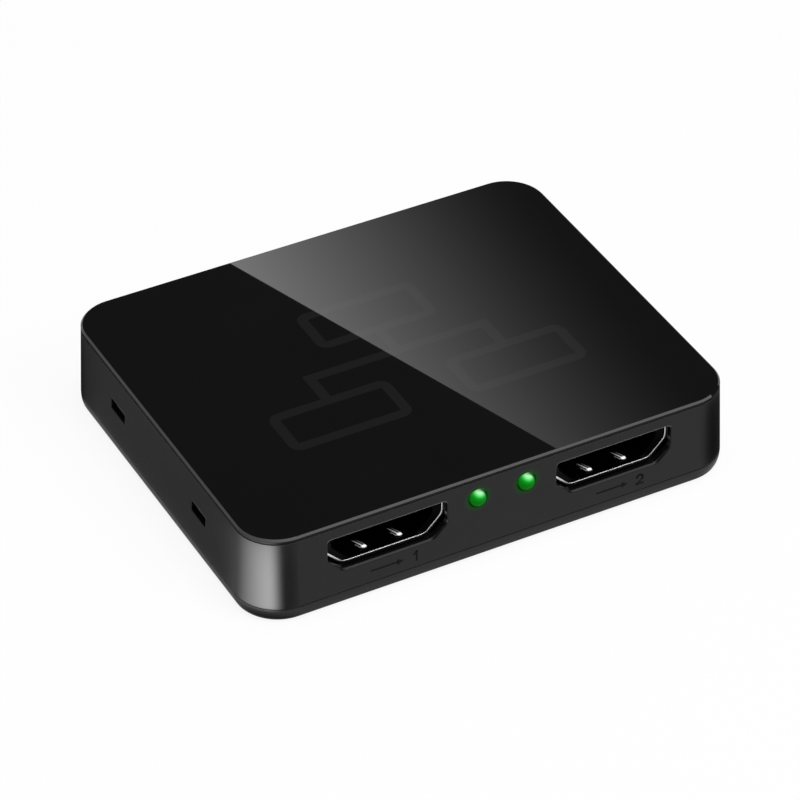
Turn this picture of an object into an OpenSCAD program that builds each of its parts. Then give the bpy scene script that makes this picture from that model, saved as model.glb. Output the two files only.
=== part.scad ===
// Two-way video splitter: a snap-fit case that holds one circuit board.
// Millimetres. The table is z = 0, the output side faces -Y and the input side faces +Y.

/* [Case] */
// Width of the case at the parting line
case_w = 68; // [66:1:80]
// Depth of the case at the parting line
case_d = 55.3; // [54:0.1:70]
// Height of the case with its top panel
case_h = 12.5; // [11:0.1:16]
// Plan radius of the corners at the parting line
corner_r = 5.9; // [4.5:0.1:7]
// Wall thickness at the parting line
wall_t = 1.3; // [1.2:0.1:1.8]
// How far each wall leans in between the parting line and the top
wall_lean = 0.45; // [0.2:0.05:0.6]
// Thickness of the skin under the top panel
skin_t = 0.7; // [0.6:0.05:0.8]
// Height of the parting line
parting_z = 2; // [1.8:0.1:2.4]
// Height of the shadow groove at the parting line
groove_h = 0.1; // [0.05:0.05:0.3]
// Depth of the shadow groove at the parting line
groove_d = 0.3; // [0.2:0.05:0.5]
// Thickness of the cover's floor
floor_t = 1.3; // [1:0.1:1.6]
// Inset of the cover's rounded lower edge
edge_in = 0.8; // [0.4:0.1:1.2]
// Height of the cover's rounded lower edge
edge_h = 1.7; // [1:0.1:1.7]

/* [Top panel] */
// Thickness of the gloss panel
panel_t = 0.6; // [0.5:0.05:0.8]
// Bevel round the panel's top edge
panel_bevel = 0.25; // [0.1:0.05:0.45]
// Thickness of the tape that holds the panel
tape_t = 0.1; // [0.05:0.05:0.4]
// Distance from the panel's edge in to the tape
tape_in = 0.15; // [0.05:0.05:1]

/* [Snap fit] */
// Distance of each snap slot from the middle of the side
snap_y = 11.6; // [8:0.1:14]
// Length of a snap slot
slot_l = 4; // [3:0.1:5]
// Height of a snap slot
slot_h = 1.65; // [1.4:0.05:2]
// Height of a slot's lower edge above the table
slot_z = 6.3; // [5.8:0.1:6.8]
// Thickness of the cover's rim and of its snap arms
rim_t = 1; // [0.8:0.1:1.2]
// How far the rim stands up inside the wall
rim_h = 1.2; // [0.8:0.1:1.4]
// Gap between the rim and the wall
rim_gap = 0.15; // [0.1:0.05:0.2]
// How far a hook reaches into its slot
hook_reach = 0.7; // [0.5:0.1:1.1]
// Gap round a hook in its slot
hook_gap = 0.1; // [0.05:0.05:0.2]

/* [Board] */
// Thickness of the circuit board
board_t = 1.2; // [0.8:0.1:1.6]
// Gap between the video sockets and the ceiling above them
socket_gap = 0.7; // [0.65:0.05:1]
// Plan radius of the board's corners
board_r = 1.5; // [0.5:0.1:2.5]
// Gap between the board's ends and the flared lips of the sockets, and round the board in a low case
board_gap = 0.2; // [0.1:0.05:0.6]
// Gap between the board's sides and the snap arms
arm_gap = 0.45; // [0.3:0.05:0.8]
// Distance of a board post from the board's side
post_in = 4.2; // [3.4:0.1:5]
// Gap between a board post and the back of the video sockets
post_gap = 0.6; // [0.3:0.1:1.5]
// Diameter of the board posts
post_d = 4.2; // [3.6:0.1:4.8]
// Diameter of the locating pegs
peg_d = 2; // [1.6:0.1:2.4]
// Height of a peg above the board
peg_up = 0.8; // [0.4:0.1:1.2]
// Gap round a peg, a pin or a leg in its hole
hole_gap = 0.2; // [0.1:0.05:0.3]
// Length of a socket's legs along the socket
leg_l = 1.2; // [0.8:0.1:1.6]
// How far a leg stands out under the board
leg_under = 0.6; // [0.3:0.1:0.8]

/* [Video sockets] */
// Distance between the two output sockets
output_pitch = 31.7; // [30:0.1:34]
// Sideways place of the input socket
input_x = -10; // [-14:0.5:-6]
// Inside width of a video socket
video_w = 14; // [13.8:0.05:14.2]
// Inside height of a video socket
video_h = 4.55; // [4.5:0.05:4.6]
// Width of the flat lower side of a video socket
video_flat = 9.9; // [9.4:0.1:10.4]
// Height of the sloped shoulder of a video socket
video_shoulder = 2.3; // [1.8:0.1:2.6]
// Length of a video socket
video_len = 11; // [10:0.1:12]
// Width of a video socket's contact tongue
tongue_w = 11.4; // [11:0.1:11.8]
// Thickness of a video socket's contact tongue
tongue_t = 1.1; // [0.9:0.05:1.2]
// Height of the tongue above the middle of the socket
tongue_up = 0.15; // [0:0.05:0.3]
// Length of the block that holds the tongue
video_block = 3.4; // [2.6:0.1:4]
// Distance between neighbouring contacts of a row
contact_pitch = 1; // [0.9:0.05:1.05]
// Width of a contact
contact_w = 0.35; // [0.3:0.05:0.45]
// Thickness of a contact
contact_t = 0.16; // [0.12:0.02:0.2]
// Distance of the contacts behind the tip of their tongue
contact_back = 0.4; // [0.3:0.05:0.6]
// Length of a contact's foot on the board
contact_foot = 1; // [0.6:0.1:1.2]
// Sheet thickness of the socket shells
sheet_t = 0.25; // [0.2:0.05:0.3]
// Sideways flare of a socket's lip
flare_w = 1.1; // [0.2:0.05:1.4]
// Up and down flare of a socket's lip
flare_h = 0.1; // [0.05:0.05:0.15]
// Length of the flared lip
lip_len = 0.5; // [0.4:0.1:1]
// Distance of each lip behind the inside of the case wall
lip_recess = 0.15; // [0.1:0.05:0.5]
// Margin of a window beside the opening of its socket
window_gap = 1.2; // [0.2:0.05:1.4]
// Margin of a window above and below the opening of its socket
window_gap_z = 0.25; // [0.05:0.05:0.3]
// Bevel round the outside of each window
window_bevel = 0.15; // [0.1:0.05:0.3]
// Distance of the tongue behind the lip
tongue_recess = 1.7; // [1.5:0.1:2]
// Width of a spring finger
finger_w = 1.1; // [0.8:0.1:1.4]
// Length of a spring finger
finger_l = 3.2; // [2.6:0.1:3.6]
// Distance between the two spring fingers of a row
finger_pitch = 4.9; // [4:0.1:5.4]
// How far a spring finger stands into the socket
finger_up = 0.25; // [0.1:0.05:0.4]
// Distance of a spring finger's slot behind the edge of the lip
finger_back = 0.3; // [0.2:0.1:0.8]
// Length of a spring finger's rounded tip with the gap before it
finger_tip = 0.7; // [0.5:0.1:0.8]
// Length of a spring finger's flat crest
finger_crest = 0.4; // [0.2:0.1:0.6]

/* [Power jack] */
// Sideways place of the power jack
power_x = 17; // [12:0.5:19]
// Inside width of the power jack
power_w = 6.9; // [6.8:0.05:7]
// Inside height of the power jack
power_h = 1.85; // [1.8:0.05:1.9]
// Width of the flat lower side of the power jack
power_flat = 5.3; // [5:0.1:5.6]
// Height of the sloped shoulder of the power jack
power_shoulder = 0.85; // [0.7:0.05:0.95]
// Length of the power jack
power_len = 5.6; // [5:0.1:6.5]
// Flare of the power jack's lip
power_flare = 0.3; // [0.1:0.05:0.4]
// Distance of the power jack's tongue behind the lip
power_recess = 0.9; // [0.7:0.05:1.2]
// Width of the power jack's tongue
power_tongue_w = 3.9; // [3.5:0.1:4.1]
// Thickness of the power jack's tongue
power_tongue_t = 0.65; // [0.5:0.05:0.7]
// Gap above the power jack's tongue
power_tongue_gap = 0.3; // [0.2:0.05:0.4]
// Length of the block that holds the power jack's tongue
power_block = 1.6; // [1.2:0.1:2]
// Distance between neighbouring contacts of the power jack
power_pitch = 0.65; // [0.6:0.05:0.7]

/* [Lamps] */
// Distance of each lamp from the middle of the output side
led_x = 3.4; // [2.6:0.1:4]
// Height of the lamps above the board
led_rise = 3.9; // [3.7:0.1:4.2]
// Diameter of a lamp
led_d = 2.4; // [2:0.1:3]
// Length of a lamp's straight body
led_body = 3.4; // [2.8:0.1:4]
// How far the lamp's body stands out of the wall before its dome
led_out = 0.1; // [0:0.05:0.3]
// Height of a lamp's dome
led_dome = 0.75; // [0.5:0.05:1]
// Distance between a lamp's two legs
led_leg_pitch = 1.5; // [1.2:0.1:2]
// Thickness of the lamp legs
led_leg_t = 0.45; // [0.3:0.05:0.5]
// Length of a lamp's legs behind its body
led_leg_back = 1.2; // [0.8:0.1:2]

/* [Board parts] */
// Side of the splitter chip's body
chip_w = 10; // [8:0.5:12]
// Leads on each side of the splitter chip
chip_leads = 16; // [10:1:20]
// Pitch of the splitter chip's leads
chip_pitch = 0.5; // [0.4:0.05:0.55]
// Height of the chip bodies
chip_h = 1.4; // [1:0.1:1.8]
// Height of the bodies above the board
chip_stand = 0.1; // [0.05:0.05:0.2]
// Reach of a chip's leads out from its body
lead_reach = 1; // [0.8:0.1:1.4]
// Thickness of the chips' leads
lead_t = 0.15; // [0.1:0.05:0.2]
// Length of the memory chip's body
memory_l = 4.9; // [4:0.1:6]
// Width of the memory chip's body
memory_w = 3.9; // [3.5:0.1:5]
// Width of the memory chip's leads
memory_lead_w = 0.42; // [0.3:0.02:0.5]
// Length of the regulator's body
regulator_l = 6.5; // [5:0.1:7]
// Width of the regulator's body
regulator_w = 3.5; // [3:0.1:4]
// Height of the regulator's body
regulator_h = 1.7; // [1.2:0.1:2]
// Width of the regulator's narrow leads
regulator_lead_w = 0.7; // [0.5:0.05:0.9]
// Length of the crystal's can
crystal_l = 10.2; // [8:0.1:11]
// Width of the crystal's can
crystal_w = 3.8; // [3:0.1:4.6]
// Height of the crystal's can
crystal_h = 3; // [2:0.1:3.8]
// Reach of the rim round the foot of the can
crystal_rim = 0.3; // [0.2:0.05:0.4]
// Height of the rim round the foot of the can
crystal_rim_h = 0.4; // [0.3:0.05:0.6]
// Height of the base under the can
crystal_base_h = 0.7; // [0.4:0.1:1]
// Reach of the base beyond the rim
crystal_edge = 0.3; // [0.1:0.05:0.6]
// Side of the power inductor
inductor_w = 5; // [4:0.1:6]
// Height of the power inductor
inductor_h = 2.6; // [1.8:0.1:3.2]
// Width of the inductor's soldered ends
inductor_end = 0.5; // [0.3:0.1:0.8]
// Length of a chip capacitor or resistor
passive_l = 1.6; // [1.2:0.1:2]
// Width of a chip capacitor or resistor
passive_w = 0.8; // [0.5:0.05:1]
// Height of a chip capacitor
capacitor_h = 0.8; // [0.4:0.05:1]
// Height of a chip resistor
resistor_h = 0.45; // [0.3:0.05:0.6]
// Length of a chip part's soldered end
end_l = 0.3; // [0.2:0.05:0.4]
// Gap between the splitter chip's leads and the capacitors round it
capacitor_gap = 0.6; // [0.4:0.1:1]
// Distance of the resistors behind the lamps' legs
resistor_back = 2; // [1.5:0.1:3]
// Length of a surge array
surge_l = 2.2; // [1.8:0.1:2.6]
// Width of a surge array
surge_w = 1.1; // [0.8:0.1:1.4]
// Height of a surge array
surge_h = 0.6; // [0.4:0.05:0.8]
// Distance between the surge arrays behind a video socket
surge_pitch = 3; // [2.8:0.1:4]
// Gap between a video socket's tails and its surge arrays
surge_gap = 0.9; // [0.6:0.1:1.5]
// Distance of the splitter chip from the middle of the board, towards the outputs
chip_y = 2; // [1:0.1:3]
// Distance of the memory chip from the left side of the board
memory_in = 13.8; // [10:0.1:15]
// Distance of the memory chip from the middle of the board, towards the outputs
memory_y = 5; // [3:0.1:7]
// Distance of the crystal from the left side of the board
crystal_in = 14.8; // [12:0.1:15.5]
// Distance of the crystal from the middle of the board, towards the input
crystal_y = 5; // [4.8:0.1:6]
// Distance of the regulator from the right side of the board
regulator_in = 10.8; // [8:0.1:12]
// Distance of the regulator from the middle of the board, towards the input
regulator_y = 8; // [7:0.1:9]
// Distance of the inductor from the right side of the board
inductor_in = 10.8; // [6:0.1:13]
// Distance of the inductor from the middle of the board, towards the outputs
inductor_y = 3; // [1:0.1:5]

/* [Hidden] */
$fn = 64;

// Heights from the table up
shell_top = case_h - panel_t - tape_t;
ceiling_z = shell_top - skin_t;
board_top = ceiling_z - socket_gap - video_h - 2 * sheet_t;
board_z = board_top - board_t;
rim_top = parting_z + rim_h;
arm_top = slot_z + slot_h - hook_gap / 2;
led_z = board_top + led_rise;

// Room inside the walls, and the board in it
room_w = case_w - 2 * wall_t;
room_d = case_d - 2 * wall_t;
room_r = corner_r - wall_t;
rim_w = room_w - 2 * rim_gap;
rim_d = room_d - 2 * rim_gap;
rim_r = room_r - rim_gap;
board_w = rim_w - 2 * rim_t - 2 * arm_gap;
arm_w = slot_l - 4 * hook_gap;

// Lean of the shell's walls for each millimetre of height
lean_rate = wall_lean / (shell_top - parting_z);
lip_y = room_d / 2 - lip_recess;
board_d = 2 * (lip_y - lip_len - sheet_t - board_gap);
post_x = board_w / 2 - post_in;
post_y = lip_y - video_len - post_gap - post_d / 2;

// How far a contact stands out of its groove, and the gap round a pressed-in block
contact_proud = contact_t / 2;
fit_gap = 0.02;
// How far a cutting tool runs past the face that it cuts
cut = 1;

// Each socket: inside width and height, lower flat, shoulder, length, sideways flare
VIDEO = [video_w, video_h, video_flat, video_shoulder, video_len, flare_w];
POWER = [power_w, power_h, power_flat, power_shoulder, power_len, power_flare];
// Height of a socket's middle when its shell lies on the board
function socket_z(s) = board_top + sheet_t + s[1] / 2;

// Points of an outline with its corners eased off over a length r
function unit(v) = v / norm(v);
function eased(points, r, steps = 4) = let (n = len(points)) [
    for (i = [0 : n - 1], k = [0 : steps])
        let (
            t = k / steps, p = points[i],
            a = p + r * unit(points[(i + n - 1) % n] - p),
            b = p + r * unit(points[(i + 1) % n] - p)
        )
        (1 - t) * (1 - t) * a + 2 * t * (1 - t) * p + t * t * b
];

// Outline of a socket about its middle: wide flat top, sloped lower corners, grown all round
function socket_outline(s, grow = 0) = let (
    slope = atan2(s[3], (s[0] - s[2]) / 2),
    side = s[0] / 2 + grow,
    low = s[2] / 2 + grow * tan(slope / 2),
    knee = s[3] - s[1] / 2 - grow * tan(45 - slope / 2),
    end = s[1] / 2 + grow
) eased([[-low, -end], [low, -end], [side, knee], [side, end], [-side, end], [-side, knee]],
        0.12 * s[1] + grow / 2);

// Rounded rectangle in plan
module plate(w, d, r) {
    square([w - 2 * r, d], center = true);
    square([w, d - 2 * r], center = true);
    for (x = [-1, 1], y = [-1, 1])
        translate([x * (w / 2 - r), y * (d / 2 - r)]) circle(r);
}

// Moulded block with rounded plan corners, its side following points [inset, height]
module moulded(w, d, r, side) {
    n = len(side);
    function across(half) = concat(
        [for (p = side) [half - p[0], p[1]]],
        [for (i = [n - 1 : -1 : 0]) [side[i][0] - half, side[i][1]]]
    );
    rotate([90, 0, 0]) linear_extrude(d - 2 * r, center = true) polygon(across(w / 2));
    rotate([90, 0, 90]) linear_extrude(w - 2 * r, center = true) polygon(across(d / 2));
    for (x = [-1, 1], y = [-1, 1])
        translate([x * (w / 2 - r), y * (d / 2 - r), 0])
            rotate_extrude() polygon(concat(
                [[0, side[0][1]]], [for (p = side) [r - p[0], p[1]]], [[0, side[n - 1][1]]]
            ));
}

// Lays a flat outline upright, running back from the plane y = 0
module run_back(length) {
    translate([0, length, 0]) rotate([90, 0, 0]) linear_extrude(length) children();
}

// Puts a part at an output, at the input or at the power jack, with y = 0 at its lip
module at_output(side, z = board_top) {
    translate([side * output_pitch / 2, -lip_y, z]) children();
}
module at_input(z = board_top) {
    translate([input_x, lip_y, z]) rotate(180) children();
}
module at_power(z = board_top) {
    translate([power_x, lip_y, z]) rotate(180) children();
}

// Case

// Window through the wall in front of a socket, with a bevel at its mouth
module socket_window(s) {
    opening = [s[0] + 2 * window_gap, s[1] + 2 * window_gap_z, s[2] + 2 * window_gap, 0.75 * s[3]];
    out = wall_t + lip_recess - window_bevel - wall_lean / 2;
    flare = [1 + 6 * window_bevel / opening[0], 1 + 6 * window_bevel / opening[1]];
    module mouth() polygon(socket_outline(opening));
    translate([0, -out, 0]) run_back(out + cut) mouth();
    translate([0, -out, 0]) rotate([90, 0, 0])
        linear_extrude(3 * window_bevel, scale = flare, slices = 1, segments = 0) mouth();
}

module snap_sides() {
    for (x = [-1, 1], y = [-1, 1])
        translate([0, y * snap_y, 0]) rotate(x > 0 ? 0 : 180) children();
}

module post_places(z) {
    for (x = [-1, 1], y = [-1, 1]) translate([x * post_x, y * post_y, z]) children();
}

module upper_shell() {
    color("#2e2e2f") difference() {
        union() {
            difference() {
                moulded(case_w, case_d, corner_r, [
                    [groove_d, parting_z], [groove_d, parting_z + groove_h],
                    [lean_rate * groove_h, parting_z + groove_h], [wall_lean, shell_top]
                ]);
                translate([0, 0, parting_z - cut])
                    linear_extrude(ceiling_z - parting_z + cut) plate(room_w, room_d, room_r);
            }
            post_places(board_top) cylinder(h = ceiling_z - board_top + skin_t / 2, d = post_d);
        }
        post_places(board_top - cut) cylinder(h = cut + peg_up + hole_gap, d = peg_d + 2 * hole_gap);
        for (side = [-1, 1]) {
            at_output(side, socket_z(VIDEO)) socket_window(VIDEO);
            translate([side * led_x, -case_d / 2 - cut, led_z]) rotate([-90, 0, 0])
                cylinder(h = cut + case_d / 2 - led_back + hole_gap, d = led_d + hole_gap);
        }
        at_input(socket_z(VIDEO)) socket_window(VIDEO);
        at_power(socket_z(POWER)) socket_window(POWER);
        snap_sides() translate([room_w / 2 - cut, -slot_l / 2, slot_z])
            cube([wall_t + 2 * cut, slot_l, slot_h]);
    }
}

module bottom_cover() {
    edge = [for (a = [0 : 18 : 90]) [edge_in * (1 - sin(a)), edge_h * (1 - cos(a))]];
    arm_x = rim_w / 2 - rim_t;
    color("#313132") {
        difference() {
            union() {
                moulded(case_w, case_d, corner_r, concat(edge, [[0, parting_z]]));
                translate([0, 0, floor_t]) linear_extrude(rim_top - floor_t)
                    plate(rim_w, rim_d, rim_r);
            }
            translate([0, 0, floor_t]) linear_extrude(rim_top + cut)
                plate(rim_w - 2 * rim_t, rim_d - 2 * rim_t, rim_r - rim_t);
            translate([0, 0, board_z - board_gap]) linear_extrude(rim_top)
                plate(board_w + 2 * board_gap, board_d + 2 * board_gap, board_r + board_gap);
        }
        snap_sides() {
            translate([arm_x, -arm_w / 2, floor_t]) cube([rim_t, arm_w, arm_top - floor_t]);
            translate([arm_x + rim_t, arm_w / 2, slot_z]) rotate([90, 0, 0]) linear_extrude(arm_w)
                polygon([
                    [-rim_t / 2, hook_gap], [hook_reach, hook_gap], [hook_reach, slot_h / 3],
                    [0, slot_h - hook_gap], [-rim_t / 2, slot_h - hook_gap]
                ]);
        }
        post_places(floor_t / 2) {
            cylinder(h = board_z - floor_t / 2, d = post_d);
            cylinder(h = board_top + peg_up - floor_t / 2, d = peg_d);
        }
    }
}

module top_panel() {
    low = shell_top + tape_t;
    color("#141415") moulded(case_w, case_d, corner_r, [
        [wall_lean + panel_bevel / 4, low], [wall_lean, low + panel_bevel / 4],
        [wall_lean, case_h - panel_bevel], [wall_lean + panel_bevel, case_h]
    ]);
}

module panel_tape() {
    inset = wall_lean + tape_in;
    color("#3a3a38") translate([0, 0, shell_top])
        linear_extrude(tape_t) plate(case_w - 2 * inset, case_d - 2 * inset, corner_r - inset);
}

// Board

module leg_slots(s) {
    for (x = [-1, 1], y = leg_places(s))
        translate([x * (s[0] + sheet_t) / 2, y, -board_t / 2])
            cube([sheet_t + 2 * hole_gap, leg_l + 2 * hole_gap, board_t + 2 * cut], center = true);
}

module circuit_board() {
    color("#1f5c38") difference() {
        translate([0, 0, board_z]) linear_extrude(board_t) plate(board_w, board_d, board_r);
        post_places(board_z - cut) cylinder(h = board_t + 2 * cut, d = peg_d + 2 * hole_gap);
        for (side = [-1, 1]) at_output(side) leg_slots(VIDEO);
        at_input() leg_slots(VIDEO);
        at_power() leg_slots(POWER);
        led_leg_places() translate([0, 0, board_z - cut])
            cylinder(h = board_t + 2 * cut, d = 1.5 * led_leg_t + 2 * hole_gap);
    }
}

// Sockets

function leg_places(s) = [0.4 * s[4], 0.82 * s[4]];

// Formed sheet shell: flared lip, straight tube, legs through the board
module sheet_shell(s) {
    wide = [1 + s[5] / (s[0] / 2 + sheet_t), 1 + flare_h / (s[1] / 2 + sheet_t)];
    middle = s[1] / 2 + sheet_t;
    module tube(grow) {
        bend = lip_len + grow;
        translate([0, bend, middle]) {
            run_back(s[4] - bend) polygon(socket_outline(s, grow));
            rotate([90, 0, 0]) linear_extrude(bend, scale = wide, slices = 1, segments = 0)
                polygon(socket_outline(s, grow));
        }
    }
    difference() {
        tube(sheet_t);
        tube(0);
        children();
    }
    for (x = [-1, 1], y = leg_places(s))
        translate([x * (s[0] + sheet_t) / 2, y, 0])
            translate([-sheet_t / 2, -leg_l / 2, -board_t - leg_under])
                cube([sheet_t, leg_l, board_t + leg_under + sheet_t + s[3] + sheet_t]);
}

// Spring finger of a video socket, cut free on three sides and rooted at its back end
module finger_places() {
    for (x = [-1, 1], upper = [0, 1])
        translate([x * finger_pitch / 2, finger_back, sheet_t + upper * video_h])
            mirror([0, 0, upper]) children();
}

module video_shell() {
    root = -finger_l - sheet_t;
    crest = -finger_tip - finger_crest;
    tip = [
        for (a = [0 : 22.5 : 90]) [(finger_tip - hole_gap) * sin(a) - finger_tip, finger_up * cos(a)]
    ];
    upper = concat([[root, 0], [-finger_l, 0], [crest, finger_up]], tip);
    lower = [for (i = [len(upper) - 1 : -1 : 0]) upper[i] - [0, sheet_t]];
    sheet_shell(VIDEO) finger_places() translate([-finger_w / 2 - hole_gap, 0, -2 * sheet_t])
        cube([finger_w + 2 * hole_gap, finger_l, 3 * sheet_t]);
    finger_places() translate([finger_w / 2, 0, 0]) rotate([90, 0, -90]) linear_extrude(finger_w)
        polygon(concat(upper, lower));
}

// Contacts in rows: one strip along the tongue, down the back and out to a foot on the board
function row(count, pitch) = [for (i = [0 : count - 1]) (i - (count - 1) / 2) * pitch];
module contact_strip(front, back, z, w) {
    drop = back + contact_t;
    translate([-w / 2, 0, 0]) rotate([90, 0, 90]) linear_extrude(w) polygon([
        [front, z], [drop + contact_t, z], [drop + contact_t, contact_t],
        [drop + contact_foot, contact_t], [drop + contact_foot, 0], [drop, 0],
        [drop, z - contact_t], [front, z - contact_t]
    ]);
}

// Tongue and back block of a video socket, with a groove for each contact
tongue_z = sheet_t + video_h / 2 + tongue_up;
upper_row = row(10, contact_pitch);
lower_row = row(9, contact_pitch);
upper_z = tongue_z + tongue_t / 2 + contact_proud;
lower_z = tongue_z - tongue_t / 2 - contact_proud + contact_t;
tongue_front = tongue_recess + contact_back;

module video_insulator() {
    tip = tongue_t / 4;
    half = tongue_t / 2;
    root = video_len - video_block / 2;
    difference() {
        union() {
            translate([0, video_len - video_block, sheet_t + video_h / 2])
                run_back(video_block) polygon(socket_outline(VIDEO, -fit_gap));
            translate([-tongue_w / 2, 0, tongue_z]) rotate([90, 0, 90]) linear_extrude(tongue_w)
                polygon([
                    [tongue_recess, tip - half], [tongue_recess + tip, -half], [root, -half],
                    [root, half], [tongue_recess + tip, half], [tongue_recess, half - tip]
                ]);
        }
        for (x = upper_row) translate([x - contact_w / 2, tongue_front, upper_z - contact_t])
            cube([contact_w, video_len, contact_t]);
        for (x = lower_row) translate([x - contact_w / 2, tongue_front, lower_z - contact_t])
            cube([contact_w, video_len, contact_t]);
    }
}

module video_contacts() {
    for (x = upper_row)
        translate([x, 0, 0]) contact_strip(tongue_front, video_len, upper_z, contact_w);
    for (x = lower_row)
        translate([x, 0, 0]) contact_strip(tongue_front, video_len, lower_z, contact_w);
}

module output_1_shell() { color("#b9bcc0") at_output(-1) video_shell(); }
module output_2_shell() { color("#b9bcc0") at_output(1) video_shell(); }
module input_shell() { color("#b9bcc0") at_input() video_shell(); }
module output_1_insulator() { color("#161616") at_output(-1) video_insulator(); }
module output_2_insulator() { color("#161616") at_output(1) video_insulator(); }
module input_insulator() { color("#161616") at_input() video_insulator(); }
module output_1_contacts() { color("#d8b45a") at_output(-1) video_contacts(); }
module output_2_contacts() { color("#d8b45a") at_output(1) video_contacts(); }
module input_contacts() { color("#d8b45a") at_input() video_contacts(); }

// Power jack: a small five-way socket of the same make
power_tongue_z = sheet_t + power_h - power_tongue_gap - power_tongue_t;
power_front = power_recess + contact_back;
power_z = power_tongue_z - contact_proud + contact_t;
power_row = row(5, power_pitch);

module power_shell() { color("#b9bcc0") at_power() sheet_shell(POWER); }

module power_insulator() {
    color("#161616") at_power() difference() {
        union() {
            translate([0, power_len - power_block, sheet_t + power_h / 2])
                run_back(power_block) polygon(socket_outline(POWER, -fit_gap));
            translate([-power_tongue_w / 2, power_recess, power_tongue_z])
                cube([power_tongue_w, power_len - power_recess - power_block / 2, power_tongue_t]);
        }
        for (x = power_row) translate([x - contact_w / 2, power_front, power_z - contact_t])
            cube([contact_w, power_len, contact_t]);
    }
}

module power_contacts() {
    color("#d8b45a") at_power() for (x = power_row)
        translate([x, 0, 0]) contact_strip(power_front, power_len, power_z, contact_w);
}

// Lamps: straight body with a domed front, held by its two bent legs and the hole in the wall
led_face = case_d / 2 - lean_rate * (led_z - parting_z) + led_out;
led_back = led_face - led_body;

module led(side) {
    sag = (led_d * led_d / 4 + led_dome * led_dome) / (2 * led_dome);
    color("#2fae3a") translate([side * led_x, -led_back, led_z]) rotate([90, 0, 0])
        rotate_extrude() polygon(concat(
            [[0, 0], [led_d / 2, 0], [led_d / 2, led_body]],
            [for (a = [1 : 7]) let (turn = asin(led_d / 2 / sag) * (1 - a / 8))
                [sag * sin(turn), led_body + led_dome - sag * (1 - cos(turn))]],
            [[0, led_body + led_dome]]
        ));
}
module led_1() { led(-1); }
module led_2() { led(1); }

module led_leg_places() {
    bend_y = -led_back + led_leg_back;
    for (side = [-1, 1], leg = [-1, 1])
        translate([side * led_x + leg * led_leg_pitch / 2, bend_y - led_leg_t / 2, 0]) children();
}

module led_legs() {
    color("#c4c6c8") led_leg_places() translate([-led_leg_t / 2, led_leg_t / 2, 0])
        rotate([90, 0, 90]) linear_extrude(led_leg_t) polygon([
            [-led_leg_back, led_z + led_leg_t / 2], [0, led_z + led_leg_t / 2], [0, board_z - leg_under],
            [-led_leg_t, board_z - leg_under], [-led_leg_t, led_z - led_leg_t / 2],
            [-led_leg_back, led_z - led_leg_t / 2]
        ]);
}

// Parts on the board

module on_board(x, y) { translate([x, y, board_top]) children(); }

// Bevelled chip body standing on its leads
module chip_body(l, w, h) {
    slope = h / 6;
    low = chip_stand;
    top = chip_stand + h;
    function across(half) = [
        [slope - half, low], [half - slope, low], [half, (low + top) / 2],
        [half - slope, top], [slope - half, top], [-half, (low + top) / 2]
    ];
    intersection() {
        rotate([90, 0, 0]) linear_extrude(w, center = true) polygon(across(l / 2));
        rotate([90, 0, 90]) linear_extrude(l, center = true) polygon(across(w / 2));
    }
}

// Row of bent leads running out from a body's edge along +Y
module lead_row(places, w, edge, h) {
    mid = chip_stand + h / 2 + lead_t / 2;
    bend = 0.3 * lead_reach;
    for (x = places)
        translate([x - w / 2, edge, 0]) rotate([90, 0, 90]) linear_extrude(w) polygon([
            [0, mid], [bend, mid], [bend + lead_t, lead_t], [lead_reach, lead_t], [lead_reach, 0],
            [bend, 0], [bend - lead_t / 2, mid - lead_t], [0, mid - lead_t]
        ]);
}

memory_x = memory_in - board_w / 2;
crystal_x = crystal_in - board_w / 2;
regulator_x = board_w / 2 - regulator_in;
inductor_x = board_w / 2 - inductor_in;

module splitter_chip() { color("#1b1b1c") on_board(0, -chip_y) chip_body(chip_w, chip_w, chip_h); }
module splitter_leads() {
    color("#c4c6c8") on_board(0, -chip_y) for (turn = [0 : 90 : 270])
        rotate(turn) lead_row(row(chip_leads, chip_pitch), 0.45 * chip_pitch, chip_w / 2, chip_h);
}

module memory_chip() {
    color("#1b1b1c") on_board(memory_x, -memory_y) chip_body(memory_l, memory_w, chip_h);
}
module memory_leads() {
    color("#c4c6c8") on_board(memory_x, -memory_y) for (turn = [0, 180])
        rotate(turn) lead_row(row(4, memory_l / 4), memory_lead_w, memory_w / 2, chip_h);
}

module regulator() {
    color("#1b1b1c") on_board(regulator_x, regulator_y)
        chip_body(regulator_l, regulator_w, regulator_h);
}
module regulator_leads() {
    color("#c4c6c8") on_board(regulator_x, regulator_y) {
        lead_row([0], regulator_l / 2, regulator_w / 2, regulator_h);
        rotate(180)
            lead_row(row(3, 0.35 * regulator_l), regulator_lead_w, regulator_w / 2, regulator_h);
    }
}

module crystal_base() {
    reach = 2 * (crystal_rim + crystal_edge);
    color("#1b1b1c") on_board(crystal_x, crystal_y)
        linear_extrude(crystal_base_h) square([crystal_l + reach, crystal_w + reach], center = true);
}
module crystal_can() {
    rim_l = crystal_l + 2 * crystal_rim;
    rim_w = crystal_w + 2 * crystal_rim;
    color("#c4c6c8") on_board(crystal_x, crystal_y) translate([0, 0, crystal_base_h]) {
        linear_extrude(crystal_rim_h) plate(rim_l, rim_w, rim_w / 2 - fit_gap);
        linear_extrude(crystal_h) plate(crystal_l, crystal_w, crystal_w / 2 - fit_gap);
    }
}

module inductor_core() {
    color("#3a3d40") on_board(inductor_x, -inductor_y) linear_extrude(inductor_h)
        square([inductor_w - 2 * inductor_end, inductor_w], center = true);
}
module inductor_ends() {
    color("#c4c6c8") on_board(inductor_x, -inductor_y) for (x = [-1, 1])
        translate([x * (inductor_w - inductor_end) / 2, 0, 0]) linear_extrude(0.6 * inductor_h)
            square([inductor_end, 0.7 * inductor_w], center = true);
}

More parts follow.
